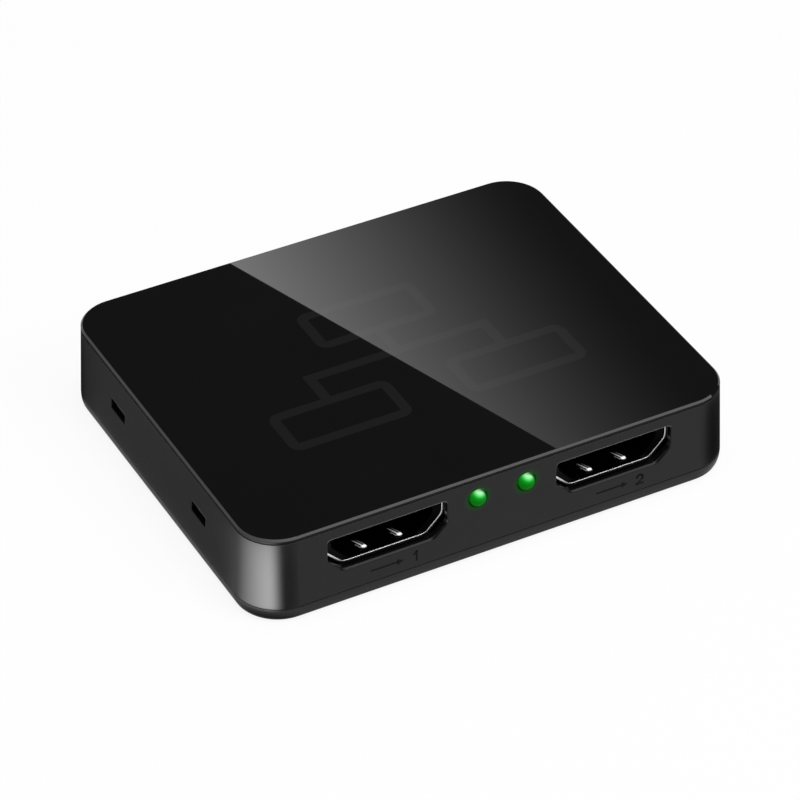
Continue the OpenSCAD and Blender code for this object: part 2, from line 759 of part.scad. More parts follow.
// Surge arrays stand behind the tails of each video socket
module surge_arrays() {
    tails = contact_t + contact_foot;
    reach = lip_y - video_len - tails - surge_gap - surge_w / 2;
    color("#1b1b1c") for (x = row(3, surge_pitch)) {
        for (side = [-1, 1]) on_board(side * output_pitch / 2 + x, -reach) surge_body();
        on_board(input_x + x, reach) surge_body();
    }
}
module surge_body() { linear_extrude(surge_h) square([surge_l, surge_w], center = true); }

// Chip capacitors ring the splitter chip, and resistors stand in two rows behind the lamps
module capacitor_places() {
    ring = chip_w / 2 + lead_reach + capacitor_gap + passive_w;
    for (turn = [0 : 90 : 270], x = row(3, 2 * passive_l))
        on_board(0, -chip_y) rotate(turn) translate([x, ring, 0]) children();
}
module resistor_places() {
    front = led_leg_back - led_back + resistor_back;
    for (x = row(3, 2 * passive_l), y = [0, 1])
        on_board(x, front + y * 2.2 * passive_w) children();
}
module passive(h) {
    linear_extrude(h) square([passive_l - 2 * end_l, passive_w], center = true);
}
module passive_ends(h) {
    for (x = [-1, 1]) translate([x * (passive_l - end_l) / 2, 0, 0])
        linear_extrude(h) square([end_l, passive_w], center = true);
}
module capacitors() { color("#9a7b58") capacitor_places() passive(capacitor_h); }
module capacitor_ends() { color("#c4c6c8") capacitor_places() passive_ends(capacitor_h); }
module resistors() { color("#222224") resistor_places() passive(resistor_h); }
module resistor_ends() { color("#c4c6c8") resistor_places() passive_ends(resistor_h); }

bottom_cover();
upper_shell();
panel_tape();
top_panel();
circuit_board();
output_1_shell();
output_1_insulator();
output_1_contacts();
output_2_shell();
output_2_insulator();
output_2_contacts();
input_shell();
input_insulator();
input_contacts();
power_shell();
power_insulator();
power_contacts();
led_1();
led_2();
led_legs();
splitter_chip();
splitter_leads();
memory_chip();
memory_leads();
regulator();
regulator_leads();
crystal_can();
crystal_base();
inductor_core();
inductor_ends();
surge_arrays();
capacitors();
capacitor_ends();
resistors();
resistor_ends();
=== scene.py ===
"""Looks of the two-way video splitter: finishes, printed marks, stage, lights and camera.

Blender's unit is the metre. Sizes below are in millimetres and go through mm().
"""

import math

import bmesh
import bpy
from mathutils import Matrix, Vector


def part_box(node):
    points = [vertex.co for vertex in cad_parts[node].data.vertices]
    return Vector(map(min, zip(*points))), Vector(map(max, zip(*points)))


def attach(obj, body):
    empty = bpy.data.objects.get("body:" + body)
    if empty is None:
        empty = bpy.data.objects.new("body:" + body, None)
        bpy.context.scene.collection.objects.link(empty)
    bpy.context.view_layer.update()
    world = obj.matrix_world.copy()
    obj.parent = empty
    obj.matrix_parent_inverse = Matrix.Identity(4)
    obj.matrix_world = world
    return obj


# Camera that matches the photograph
CAMERA_AZIMUTH = -28.03
CAMERA_ELEVATION = 37.66
CAMERA_ROLL = -0.07
CAMERA_DISTANCE = 522.5
CAMERA_TARGET = (-0.76, -2.11, 6.25)
SENSOR = 36.0
LENS = 185.06
CAMERA_CLIP = (10, 20000)

# Case, as the solids have it: parting line, how far the wall leans in above it, and corners in plan
PARTING_Z = 2.0
WALL_LEAN = 0.45
CORNER_R = 5.9

# Rounding of moulded and pressed edges, and the samples that smooth it
CASE_EDGE = 0.05
WINDOW_EDGE = 0.2
PANEL_EDGE = 0.06
LIP_EDGE = 0.14
EDGE_SAMPLES = 6

# Edges get the windows' rounding between these heights above the table and depths below the case's top
ROUND_ABOVE = (3.0, 3.5)
ROUND_BELOW = (0.9, 0.5)

# Part of the noise's range that patches use, and sizes of patches
NOISE_SPAN = (0.3, 0.7)
PLASTIC_PATCH = 6.0
METAL_PATCH = 1.5
PANEL_PATCH = 12.0
PLATE_PATCH = 0.8

# Satin of the case: darkest and lightest grey, roughness, and size and depth of its grain
CASE_GREYS = (0.0037, 0.0049)
CASE_ROUGH = (0.19, 0.23)
CASE_GRAIN = (0.25, 0.0008)

# Gloss of the case, which fades to a share of it at the foot, between two heights that rise on the side walls
CASE_GLOSS = 0.23
INSIDE_GLOSS = 0.02
FOOT_GLOSS = 0.1
FOOT_LOW = 0.55
FOOT_H = 1.4
FOOT_SIDE = 0.55

# Painted greys of the case: shade inside its windows, light on the ledge under the panel, and a highlight on
# upper edges of windows
INSIDE_SHADE_GREY = 0.001
LEDGE_LIGHT_GREY = 0.035
EDGE_HIGHLIGHT_GREY = 0.16

# The painted highlight on edges runs from these heights above the sockets' middle to these depths below the
# case's top
EDGE_HIGHLIGHT_ABOVE = (2.0, 2.3)
EDGE_HIGHLIGHT_BELOW = (0.7, 0.5)

# It is painted where the cosine of the rounding's turn and the rise of its normal go down over these spans
EDGE_HIGHLIGHT_TURN = (0.995, 0.94)
EDGE_HIGHLIGHT_RISE = (-0.05, -0.15)

# Depths below the case's top over which the painted light on the ledge begins
LEDGE_BELOW = (0.05, 0.02)

# Depths behind the case's outside over which painted shade darkens it and its gloss fades
INSIDE_SHADE_FROM = 0.6
INSIDE_SHADE_TO = 1.1

# Green light of a lamp painted on the wall round it as a glow: colour, strength, reach, and share of gloss
# left there
HALO_COLOUR = (0.02, 1.0, 0.03)
HALO = 0.03
HALO_FROM = 1.6
HALO_TO = 2.0
HALO_GLOSS = 0.5

# Gloss of the panel's polished faces, grey of its print, and grey and gloss of its cut sides, whose lighter
# grey is painted in place of the reflection they would show
PANEL_GLOSS = 0.5
DIAGRAM_GREY = 0.01
SIDE_REFLECTION_GREY = 0.014
SIDE_GLOSS = 0.04

# Greys and roughness of the polish, and the rise of a face's normal over which it gives way to a cut side
PANEL_GREYS = (0.0037, 0.0041)
PANEL_ROUGH = (0.004, 0.008)
SIDE_RISE = (0.6, 0.2)

# Sheet of the video sockets: its black of painted shade, colour and wear of what is bright, roughness of
# both, and grain
PLATE_SHADE_GREY = 0.003
BRIGHT_COLOUR = (0.8, 0.8, 0.79)
BRIGHT_WEAR = (0.85, 1.0)
PLATE_ROUGH = (0.42, 0.3)
PLATE_GRAIN = (0.4, 0.001)

# Depth of the bright lip of a video socket: on its straight lower part, and at its sides after a short change
LIP_SHINE = 0.14
LIP_SIDE_SHINE = 0.035
LIP_FLAT = 4.6
LIP_CHANGE = 0.8

# Spring fingers of the video sockets, as the solids have them, and the rise and margin that tell them apart
FINGER_PITCH = 4.9
FINGER_W = 1.1
FINGER_RISE = 0.03
FINGER_MARGIN = 0.01

# Highlight painted on a spring finger as a bright spot: place across it and behind the lip, half lengths, and
# share fully lit
SPOT_PLACE = (0.24, 1.0)
SPOT_SIZE = (0.48, 0.32)
SPOT_FULL = 0.2

# Shine at which a finger's surface is tilted to the front
TILT_SHINE = 0.05

# Streaks of painted highlight that run back from the spot: place across, half width and strength
STREAKS = ((0.12, 0.17, 0.6), (-0.3, 0.09, 0.25), (0.52, 0.09, 0.25))
STREAK_SLANT = 0.335
STREAK_FROM = 0.9
STREAK_TO = 3.0

# Length of a lamp's lens in front of the wall, and the brightest place in it, a highlight painted into its
# glow, from the tip of its crown
LENS_OUT = 0.85
LENS_HIGHLIGHT = (0.16, 0.6, 1.25)

# Light of a lamp's lens at shares of its width from the brightest place
LENS_STOPS = (
    (0.0, (0.46, 1.0, 0.5)),
    (0.17, (0.42, 1.0, 0.45)),
    (0.25, (0.2, 0.8, 0.25)),
    (0.34, (0.04, 0.54, 0.08)),
    (0.43, (0.003, 0.28, 0.01)),
    (0.6, (0.001, 0.16, 0.004)),
    (1.0, (0.001, 0.08, 0.002)),
)

# Dark rim of a lens: shift of its middle, start and end as shares of the radius, and light left in it
RIM_SHIFT = (-0.18, 0, 0.2)
RIM_FROM = 0.78
RIM_TO = 0.93
RIM_LIGHT = 0.12

# Marks printed under the outputs: an arrow and the number of the output
PRINT_LIFT = 0.012
PRINT_Z = 3.05
PRINT_H = 1.3
PRINT_LINE = 0.26
PRINT_SHIFT = 0.9
ARROW_L = 4.4
ARROW_HEAD = 0.9
NUMBER_GAP = 1.3
NUMBER_W = 0.85

# Number 1: place of its stem, and place and share of the height of its flag
STEM_X = 0.5
FLAG_X = 0.15
FLAG_UP = 0.75

# Bow of number 2: angle at its start, how far it turns, and steps
BOW_START = 170
BOW_TURN = 205
BOW_STEPS = 10

# Diagram under the gloss of the top panel: one box at the input side feeds two at the output side
BOX_SIZE = (17.0, 8.0)
BOX_R = 1.6
BOX_LINE = 1.4
LINE_R = 0.1
INPUT_BOX = (0.0, 8.5)
OUTPUT_BOX = (12.5, -8.5)

# Stage
FLOOR_R = 3000.0
FLOOR_DROP = 0.02
FLOOR_SIDES = 96
COVE_R = 120.0
COVE_H = 350.0
COVE_STEPS = 8
FLOOR_GLOW = 0.9
WORLD_LEVEL = 0.05

# Soft boxes: the way to them, their distance, size and radiance
KEY_BOX = ((0.37, -0.61, 0.70), 900, (500, 500), 3.0)
TOP_BOX = ((0.0, -0.1, 1.0), 1400, (900, 900), 5.0)

# Reflection in the top panel: its sharp edge crosses the panel from back to front
GLINT_BACK = (-10.5, 27.3)
GLINT_FRONT = (7.7, -26.7)

# How far its card goes past the panel, X where it has faded at the back and the front, light, fall and steps
GLINT_PAST = 3.0
GLINT_END = (34.2, 29.8)
GLINT_PEAK = 2.55
GLINT_FADE = 1.95
GLINT_ROWS = 8
GLINT_STEPS = 24

# Band of light that the panel's bevel mirrors, from the front right corner round to the left side
BEVEL_Z = 12.0
BEVEL_SLOPE = 45.0
BAND_DISTANCE = 700.0
BAND_FROM = -24.0
BAND_TO = 110.0
BAND_TILT = 7.0
BAND_FRONT = 2.6
BAND_LEFT = 1.05
BAND_STEPS = 36

# Cards on the floor that the case's walls mirror, and the heights on the wall that they are shaped for
CARD_Z = 0.25
CARD_GAP = 0.2
CARD_REACH = 13.0
LEFT_CARD = 0.21
CARD_HEIGHTS = (0.9, 1.9, 2.1, 4.5, 7.0, 9.5, 13.0)

# Light mirrored along the left wall, from back to front: Y, light on the wall and on the cover
LEFT_WALL = (
    (21.75, 0.14, 0.4),
    (18, 0.205, 0.54),
    (-12, 0.205, 0.54),
    (-18, 0.225, 0.54),
    (-20.5, 0.3, 0.6),
)

# Light mirrored round the front left corner: it dips next to the front and swells between two angles from it
DIP_TO = 10
DIP_LIGHT = 0.5
SWELL_FROM = 18
SWELL_TOP = 37
SWELL_TO = 89
SWELL_FALL = 0.75
SWELL_LIGHT = 17.4

# Light mirrored by the cover at that corner, and the angles over which it fades
COVER_LIGHT = 1.2
COVER_FROM = 70
COVER_TO = 105

# Light left far round the front right corner, and angles over which light fades there and at the back left
RIGHT_LIGHT = 0.04
RIGHT_COVER_LIGHT = 0.4
RIGHT_FADE = 11.5
RIGHT_COVER_FADE = 50.0
BACK_FADE = 8.0

# Angles from the back or the front at which the cards have a station round a corner
BACK_TURNS = range(63, 90, 3)
LEFT_TURNS = range(90, -1, -3)
RIGHT_TURNS = range(0, 58, 3)


def mm(*values):
    """Millimetres as metres: one number, or a vector."""
    scaled = [v * 0.001 for v in values]
    return scaled[0] if len(scaled) == 1 else Vector(scaled)


def middle(name):
    """Middle of a solid's box."""
    low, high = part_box(name)
    return (low + high) / 2


def share_steps(count):
    """Shares from 0 to 1 in that many steps."""
    return [step / count for step in range(count + 1)]


# Shader building blocks


def new_material(name):
    """A material with its tree and its Principled shader."""
    mat = bpy.data.materials.new(name)
    mat.use_nodes = True
    tree = mat.node_tree
    shader = next(n for n in tree.nodes if n.type == "BSDF_PRINCIPLED")
    return mat, tree, shader


def add(tree, kind, inputs=None, **settings):
    """A node of that kind, with its settings and its input values or links."""
    node = tree.nodes.new(kind)
    for key, value in settings.items():
        setattr(node, key, value)
    for key, value in (inputs or {}).items():
        if isinstance(value, bpy.types.NodeSocket):
            tree.links.new(value, node.inputs[key])
        else:
            node.inputs[key].default_value = value
    return node


def calc(tree, operation, a, b=0.0):
    return add(tree, "ShaderNodeMath", {0: a, 1: b}, operation=operation).outputs[0]


def calc_vector(tree, operation, a, b=(0, 0, 0)):
    """Vector result of a vector sum."""
    return add(tree, "ShaderNodeVectorMath", {0: a, 1: b}, operation=operation).outputs["Vector"]


def length(tree, vector):
    return add(tree, "ShaderNodeVectorMath", {0: vector}, operation="LENGTH").outputs["Value"]


def place_on(tree):
    """Place on the object, in metres."""
    return add(tree, "ShaderNodeTexCoord").outputs["Object"]


def ramp(tree, value, low, high, to_low=0.0, to_high=1.0):
    """Takes a value from low..high to to_low..to_high and holds it there."""
    return add(tree, "ShaderNodeMapRange", {
        "Value": value, "From Min": low, "From Max": high, "To Min": to_low, "To Max": to_high,
    }).outputs["Result"]


def noise(tree, grain, detail=2.0):
    """Noise about 0.5 whose features are about grain millimetres across."""
    return add(tree, "ShaderNodeTexNoise", {
        "Vector": place_on(tree), "Scale": 1 / mm(grain), "Detail": detail,
    }).outputs["Fac"]


def patches(tree, size, low=0.0, high=1.0):
    """Soft patches about size millimetres across, between two values."""
    return ramp(tree, noise(tree, size), *NOISE_SPAN, low, high)


def within(tree, value, rise, fall):
    """1 between two spans of the value: it rises over the first and falls over the second."""
    return calc(tree, "MULTIPLY", ramp(tree, value, *rise), ramp(tree, value, *fall, 1, 0))


def axes(tree, vector):
    """X, Y and Z of a vector."""
    return add(tree, "ShaderNodeSeparateXYZ", {0: vector}).outputs


def surface_normal(tree):
    """The way that the solid's surface faces, without rounded edges."""
    return add(tree, "ShaderNodeNewGeometry").outputs["Normal"]


def tint(tree, share, start, end):
    """Colour between two others, each a colour or a link to one."""
    both = [c if isinstance(c, bpy.types.NodeSocket) else (*c, 1) for c in (start, end)]
    return add(tree, "ShaderNodeMix", {0: share, 6: both[0], 7: both[1]}, data_type="RGBA").outputs[2]


def relief(tree, shader, edge, grain, depth):
    """Rounds the hard edges and raises a fine grain, both in millimetres."""
    rounded = add(tree, "ShaderNodeBevel", {"Radius": mm(edge)}, samples=EDGE_SAMPLES).outputs["Normal"]
    made = add(tree, "ShaderNodeBump", {
        "Height": noise(tree, grain), "Distance": mm(depth), "Strength": 1.0, "Normal": rounded,
    })
    tree.links.new(made.outputs["Normal"], shader.inputs["Normal"])


def drift(tree, shader, patch, dark, light, rough):
    """Colour and roughness that drift together over patches."""
    level = patches(tree, patch)
    tree.links.new(tint(tree, level, dark, light), shader.inputs["Base Color"])
    tree.links.new(ramp(tree, level, 0, 1, *rough), shader.inputs["Roughness"])


def plastic(name, dark, light, rough, specular, grain, depth, edge=0.03):
    mat, tree, shader = new_material(name)
    shader.inputs["Specular IOR Level"].default_value = specular
    drift(tree, shader, PLASTIC_PATCH, dark, light, rough)
    relief(tree, shader, edge, grain, depth)
    return mat


def metal(name, dark, light, rough, grain, depth, edge=0.02):
    mat, tree, shader = new_material(name)
    shader.inputs["Metallic"].default_value = 1.0
    drift(tree, shader, METAL_PATCH, dark, light, rough)
    relief(tree, shader, edge, grain, depth)
    return mat


# Finishes


def behind_outside(tree, start, end):
    """0 on the outside of the case, and rising to 1 between two depths behind it."""
    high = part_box("bottom_cover")[1]
    corner = mm(CORNER_R)
    apart = calc_vector(tree, "ABSOLUTE", calc_vector(tree, "MULTIPLY", place_on(tree), (1, 1, 0)))
    beyond = calc_vector(tree, "SUBTRACT", apart, (high.x - corner, high.y - corner, 0))
    out = length(tree, calc_vector(tree, "MAXIMUM", beyond))
    return ramp(tree, out, corner - mm(end), corner - mm(start), 1, 0)


def face_of(name):
    """Middle of a lamp where it leaves the wall."""
    low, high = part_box(name)
    return Vector(((low.x + high.x) / 2, low.y + mm(LENS_OUT), (low.z + high.z) / 2))


def lamp_halo(tree):
    """1 on the wall close to a lamp, and 0 away from it."""
    apart = [calc_vector(tree, "SUBTRACT", place_on(tree), face_of(name)) for name in ("led_1", "led_2")]
    nearest = calc(tree, "MINIMUM", *[length(tree, vector) for vector in apart])
    return ramp(tree, nearest, mm(HALO_TO), mm(HALO_FROM))


def painted_edge_highlight(tree, bevel):
    """Mask of the painted highlight: 1 where the rounding turns the surface downward, and 0 on flat walls."""
    rounded = bevel.outputs["Normal"]
    along = add(tree, "ShaderNodeVectorMath", {0: rounded, 1: surface_normal(tree)}, operation="DOT_PRODUCT")
    turned = ramp(tree, along.outputs["Value"], *EDGE_HIGHLIGHT_TURN)
    return calc(tree, "MULTIPLY", turned, ramp(tree, axes(tree, rounded)["Z"], *EDGE_HIGHLIGHT_RISE))


def case_colour(tree, colour, bevel, z, top, inside_shade):
    """The case's black, with a highlight painted on upper window edges, shade painted inside the windows and
    light painted on the ledge under the panel.
    """
    socket = middle("output_1_insulator").z
    rise = [socket + mm(up) for up in EDGE_HIGHLIGHT_ABOVE]
    upper = within(tree, z, rise, [top - mm(down) for down in EDGE_HIGHLIGHT_BELOW])
    # Lighter grey painted on the upper edges of the windows as a highlight
    bright_share = calc(tree, "MULTIPLY", painted_edge_highlight(tree, bevel), upper)
    # Light painted on the ledge under the panel, which lifts the shade there
    ledge = ramp(tree, z, *[top - mm(down) for down in LEDGE_BELOW])
    for share, grey in ((bright_share, EDGE_HIGHLIGHT_GREY), (inside_shade, INSIDE_SHADE_GREY), (ledge, LEDGE_LIGHT_GREY)):
        colour = tint(tree, share, colour, (grey,) * 3)
    return colour


def case_gloss(tree, z, inside_shade, halo):
    """The case's gloss, which fades inside the windows, at the foot and round the lamps."""
    sideways = calc(tree, "ABSOLUTE", axes(tree, surface_normal(tree))["X"])
    height = calc(tree, "SUBTRACT", z, calc(tree, "MULTIPLY", sideways, mm(FOOT_SIDE)))
    gloss = ramp(tree, inside_shade, 0, 1, CASE_GLOSS, INSIDE_GLOSS)
    gloss = calc(tree, "MULTIPLY", gloss, ramp(tree, height, mm(FOOT_LOW), mm(FOOT_H), FOOT_GLOSS, 1))
    return calc(tree, "MULTIPLY", gloss, ramp(tree, halo, 0, 1, 1, HALO_GLOSS))


def case_satin():
    """Satin black moulding, with painted shade, light and highlights on it, and the lamps' green light
    painted on the wall round them as a glow.
    """
    mat, tree, shader = new_material("case_satin")
    drift(tree, shader, PLASTIC_PATCH, *[(grey,) * 3 for grey in CASE_GREYS], CASE_ROUGH)
    relief(tree, shader, CASE_EDGE, *CASE_GRAIN)
    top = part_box("upper_shell")[1].z
    z = axes(tree, place_on(tree))["Z"]
    # Shade painted inside the windows: darker and less glossy behind the outside
    inside_shade = behind_outside(tree, INSIDE_SHADE_FROM, INSIDE_SHADE_TO)
    halo = lamp_halo(tree)
    bevel = next(n for n in tree.nodes if n.type == "BEVEL")
    black = shader.inputs["Base Color"].links[0].from_socket
    tree.links.new(case_colour(tree, black, bevel, z, top, inside_shade), shader.inputs["Base Color"])
    tree.links.new(case_gloss(tree, z, inside_shade, halo), shader.inputs["Specular IOR Level"])
    rise = [mm(up) for up in ROUND_ABOVE]
    between = within(tree, z, rise, [top - mm(down) for down in ROUND_BELOW])
    tree.links.new(ramp(tree, between, 0, 1, mm(CASE_EDGE), mm(WINDOW_EDGE)), bevel.inputs["Radius"])
    # Green glow painted on the wall round the lamps
    shader.inputs["Emission Color"].default_value = (*HALO_COLOUR, 1)
    tree.links.new(calc(tree, "MULTIPLY", halo, HALO), shader.inputs["Emission Strength"])
    return mat


def rounded_box(tree, flat, centre, size, radius):
    """1 inside a rounded rectangle in plan, and 0 outside."""
    reach = (mm(size[0] / 2 - radius), mm(size[1] / 2 - radius), 0)
    apart = calc_vector(tree, "ABSOLUTE", calc_vector(tree, "SUBTRACT", flat, mm(*centre, 0)))
    beyond = calc_vector(tree, "MAXIMUM", calc_vector(tree, "SUBTRACT", apart, reach))
    return calc(tree, "LESS_THAN", length(tree, beyond), mm(radius))


def diagram(tree):
    """Mask of the diagram: one box, a line that forks, and two boxes."""
    flat = calc_vector(tree, "MULTIPLY", place_on(tree), (1, 1, 0))
    inner = [side - 2 * BOX_LINE for side in BOX_SIZE]
    marks = []
    for centre in (INPUT_BOX, OUTPUT_BOX, (-OUTPUT_BOX[0], OUTPUT_BOX[1])):
        outside = rounded_box(tree, flat, centre, BOX_SIZE, BOX_R)
        inside = rounded_box(tree, flat, centre, inner, BOX_R - BOX_LINE)
        marks.append(calc(tree, "SUBTRACT", outside, inside))
    start, end = INPUT_BOX[1] - BOX_SIZE[1] / 2, OUTPUT_BOX[1] + BOX_SIZE[1] / 2
    fork = (start + end) / 2
    lines = [
        ((0, (start + fork) / 2), (BOX_LINE, start - fork)),
        ((0, fork), (2 * OUTPUT_BOX[0] + BOX_LINE, BOX_LINE)),
        ((OUTPUT_BOX[0], (fork + end) / 2), (BOX_LINE, fork - end)),
        ((-OUTPUT_BOX[0], (fork + end) / 2), (BOX_LINE, fork - end)),
    ]
    marks += [rounded_box(tree, flat, *line, LINE_R) for line in lines]
    mask = marks[0]
    for mark in marks[1:]:
        mask = calc(tree, "MAXIMUM", mask, mark)
    return mask


def gloss_panel():
    """Polished black acrylic over a dark grey print, with cut sides of low gloss, whose lighter grey is
    painted in place of a reflection.
    """
    mat, tree, shader = new_material("panel_gloss")
    patch = patches(tree, PANEL_PATCH)
    black = tint(tree, patch, *[(grey,) * 3 for grey in PANEL_GREYS])
    printed = tint(tree, diagram(tree), black, (DIAGRAM_GREY,) * 3)
    tree.links.new(ramp(tree, patch, 0, 1, *PANEL_ROUGH), shader.inputs["Roughness"])
    # Cut sides: low gloss, with a lighter grey painted in place of their reflection
    side = ramp(tree, axes(tree, surface_normal(tree))["Z"], *SIDE_RISE)
    tree.links.new(tint(tree, side, printed, (SIDE_REFLECTION_GREY,) * 3), shader.inputs["Base Color"])
    tree.links.new(ramp(tree, side, 0, 1, PANEL_GLOSS, SIDE_GLOSS), shader.inputs["Specular IOR Level"])
    rounded = add(tree, "ShaderNodeBevel", {"Radius": mm(PANEL_EDGE)}, samples=EDGE_SAMPLES)
    tree.links.new(rounded.outputs["Normal"], shader.inputs["Normal"])
    return mat


def board_mask():
    """Green solder mask over copper runs that show as a lighter green."""
    mat, tree, shader = new_material("board_mask")
    runs = add(tree, "ShaderNodeTexBrick", {
        "Vector": place_on(tree), "Scale": 1 / mm(3.0), "Mortar Size": 0.06, "Color1": (0, 0, 0, 1),
        "Color2": (0, 0, 0, 1), "Mortar": (1, 1, 1, 1),
    }).outputs["Color"]
    colour = tint(tree, runs, (0.012, 0.085, 0.032), (0.03, 0.17, 0.07))
    tree.links.new(colour, shader.inputs["Base Color"])
    shader.inputs["Roughness"].default_value = 0.32
    raised = add(tree, "ShaderNodeBump", {"Height": runs, "Distance": mm(0.02), "Strength": 1.0})
    tree.links.new(raised.outputs["Normal"], shader.inputs["Normal"])
    return mat


def lamp_lens(name):
    """Green lens lit from inside, with a pale highlight painted into its glow on its upper side, deep green
    below and dark at its rim.
    """
    mat, tree, shader = new_material(f"{name}_lens")
    low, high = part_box(name)
    crown = Vector(((low.x + high.x) / 2, low.y, (low.z + high.z) / 2))
    radius = (high.x - low.x) / 2
    place = place_on(tree)
    away = length(tree, calc_vector(tree, "SUBTRACT", place, crown + mm(*LENS_HIGHLIGHT)))
    colours = add(tree, "ShaderNodeValToRGB", {"Fac": ramp(tree, away, 0, 2 * radius)})
    stops = colours.color_ramp.elements
    stops[0].color = (*LENS_STOPS[0][1], 1)
    stops[1].color = (*LENS_STOPS[-1][1], 1)
    for at, colour in LENS_STOPS[1:-1]:
        stops.new(at).color = (*colour, 1)
    flat = calc_vector(tree, "SUBTRACT", place, crown + mm(*RIM_SHIFT))
    out = length(tree, calc_vector(tree, "MULTIPLY", flat, (1, 0, 1)))
    light = ramp(tree, out, RIM_FROM * radius, RIM_TO * radius, 1.0, RIM_LIGHT)
    tree.links.new(colours.outputs["Color"], shader.inputs["Emission Color"])
    tree.links.new(light, shader.inputs["Emission Strength"])
    shader.inputs["Base Color"].default_value = (0.0005, 0.01, 0.001, 1)
    shader.inputs["Roughness"].default_value = 0.25
    shader.inputs["Specular IOR Level"].default_value = 0.02
    return mat


def finger_painted_highlight(tree, across, behind):
    """Highlight painted at the tip of a spring finger: a bright spot, with streaks that run back from it."""
    back = calc(tree, "SUBTRACT", behind, mm(SPOT_PLACE[1]))
    spot = add(tree, "ShaderNodeCombineXYZ", {
        "X": calc(tree, "DIVIDE", calc(tree, "SUBTRACT", across, mm(SPOT_PLACE[0])), mm(SPOT_SIZE[0])),
        "Y": calc(tree, "DIVIDE", back, mm(SPOT_SIZE[1])),
    })
    shine = ramp(tree, length(tree, spot.outputs["Vector"]), 1.0, SPOT_FULL)
    slanted = calc(tree, "ADD", across, calc(tree, "MULTIPLY", back, STREAK_SLANT))
    fade = ramp(tree, behind, mm(STREAK_FROM), mm(STREAK_TO), 1, 0)
    fade = calc(tree, "MULTIPLY", fade, calc(tree, "GREATER_THAN", behind, mm(STREAK_FROM)))
    for at, half, strength in STREAKS:
        off = calc(tree, "ABSOLUTE", calc(tree, "SUBTRACT", slanted, mm(at)))
        streak = calc(tree, "MULTIPLY", ramp(tree, off, mm(half), 0, 0, strength), fade)
        shine = calc(tree, "MAXIMUM", shine, streak)
    on_finger = calc(tree, "LESS_THAN", calc(tree, "ABSOLUTE", across), mm(FINGER_W / 2 + FINGER_MARGIN))
    return calc(tree, "MULTIPLY", shine, on_finger)


def socket_plate(name):
    """Sheet painted black as shade, bright metal at the lip, and highlights painted on the lower spring
    fingers, tilted to catch light from the front.
    """
    mat, tree, shader = new_material(f"{name}_plate")
    low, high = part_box(name)
    front = -1 if abs(low.y) > abs(high.y) else 1
    lip = low.y if front < 0 else high.y
    axis = middle(name.replace("_shell", "_insulator"))
    place = axes(tree, calc_vector(tree, "SUBTRACT", place_on(tree), axis))
    behind = calc(tree, "ABSOLUTE", calc(tree, "SUBTRACT", place["Y"], lip - axis.y))
    sideways = calc(tree, "ABSOLUTE", place["X"])
    bend = (mm(LIP_FLAT), mm(LIP_FLAT + LIP_CHANGE))
    edge = calc(tree, "LESS_THAN", behind, ramp(tree, sideways, *bend, mm(LIP_SHINE), mm(LIP_SIDE_SHINE)))
    floor = axis.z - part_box(name.replace("_shell", "_insulator"))[1].z
    raised = calc(tree, "GREATER_THAN", place["Z"], floor + mm(FINGER_RISE))
    lower = calc(tree, "MULTIPLY", raised, calc(tree, "LESS_THAN", place["Z"], 0))
    centre = calc(tree, "MULTIPLY", calc(tree, "SIGN", place["X"]), mm(FINGER_PITCH / 2))
    across = calc(tree, "SUBTRACT", place["X"], centre)
    shine = calc(tree, "MULTIPLY", lower, finger_painted_highlight(tree, across, behind))
    bright = calc(tree, "MAXIMUM", edge, shine)
    # Bright metal at the lip and in the painted finger highlights, varied by wear, on a sheet that is
    # otherwise black as painted shade
    bright_share = calc(tree, "MULTIPLY", bright, patches(tree, PLATE_PATCH, *BRIGHT_WEAR))
    tree.links.new(tint(tree, bright_share, (PLATE_SHADE_GREY,) * 3, BRIGHT_COLOUR), shader.inputs["Base Color"])
    tree.links.new(ramp(tree, bright, 0, 1, *PLATE_ROUGH), shader.inputs["Roughness"])
    shader.inputs["Metallic"].default_value = 1.0
    relief(tree, shader, LIP_EDGE, *PLATE_GRAIN)
    normal = shader.inputs["Normal"].links[0].from_socket
    lit = ramp(tree, shine, 0, TILT_SHINE)
    tilted = add(tree, "ShaderNodeMix", {0: lit, 4: normal, 5: (0, front, 1)}, data_type="VECTOR").outputs[1]
    tree.links.new(calc_vector(tree, "NORMALIZE", tilted), shader.inputs["Normal"])
    return mat


def make_finishes():
    """One finish for each material slot of the record that all its solids share."""
    resin = ((0.003,) * 3, (0.005,) * 3)
    gold = ((0.83, 0.58, 0.22), (0.9, 0.66, 0.3))
    tin = ((0.6, 0.61, 0.62), (0.74, 0.75, 0.76))
    ferrite = ((0.03, 0.031, 0.033), (0.05, 0.05, 0.052))
    ceramic = ((0.26, 0.16, 0.08), (0.36, 0.23, 0.12))
    return {
        "case_black": case_satin(),
        "panel_black": gloss_panel(),
        # The tape's grey is made lighter as painted light that lifts the shade in the groove under the panel
        "tape_dark": plastic("tape_foam", (0.045,) * 3, (0.055,) * 3, (0.75, 0.9), 0.2, 0.15, 0.01),
        "board_green": board_mask(),
        "insulator_black": plastic("insulator_resin", *resin, (0.5, 0.62), 0.25, 0.2, 0.004),
        "contact_gold": metal("contact_gold", *gold, (0.16, 0.26), 0.3, 0.001),
        "tinned": metal("tinned_metal", *tin, (0.25, 0.4), 0.3, 0.004),
        "chip_black": plastic("chip_epoxy", (0.012,) * 3, (0.02,) * 3, (0.5, 0.65), 0.4, 0.1, 0.006),
        "ferrite": plastic("ferrite_grey", *ferrite, (0.6, 0.75), 0.4, 0.2, 0.01),
        "ceramic_tan": plastic("ceramic_tan", *ceramic, (0.35, 0.5), 0.5, 0.2, 0.004),
    }


